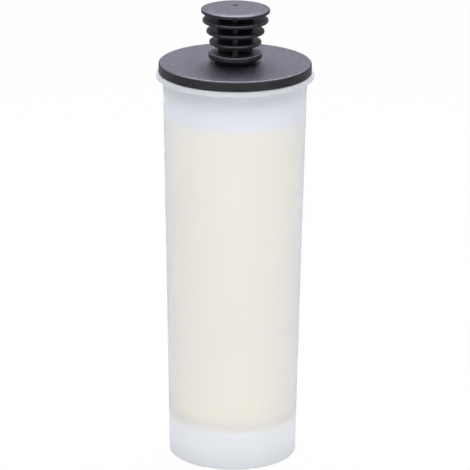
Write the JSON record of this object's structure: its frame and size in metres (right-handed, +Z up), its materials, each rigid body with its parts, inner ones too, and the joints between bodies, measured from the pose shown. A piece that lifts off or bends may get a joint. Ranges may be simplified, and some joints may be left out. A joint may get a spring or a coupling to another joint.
{
  "type": "steam cleaner descaling cartridge",
  "caption": "Tapered translucent tube of cream descaling granulate, with a flanged mouth, a slotted base with an outlet socket, and a black lid with a stacked-disc grip.",
  "frame": {"origin": "centre of the foot ring's face, where the cartridge stands", "axes": "+Z up the tube's axis to the grip, -Y towards the front web of the grip, +X to its right"},
  "size_m": [0.052, 0.052, 0.1536],
  "materials": {
    "clear_shell": "satin, milky translucent polypropylene",
    "black_plastic": "fine satin grain",
    "natural_plastic": "satin, undyed",
    "fleece": "matted fibre",
    "granulate": "fine damp beads",
    "seal_rubber": "matt"
  },
  "bodies": {
    "root": {"cartridge_tube": "clear_shell", "outlet_seal": "seal_rubber", "riser_tube": "natural_plastic", "lower_strainer": "natural_plastic", "lower_fleece": "fleece", "granulate_bed": "granulate", "upper_fleece": "fleece", "upper_strainer": "natural_plastic", "lid_seal_ring": "seal_rubber", "grip_lid": "black_plastic"}
  },
  "joints": []
}
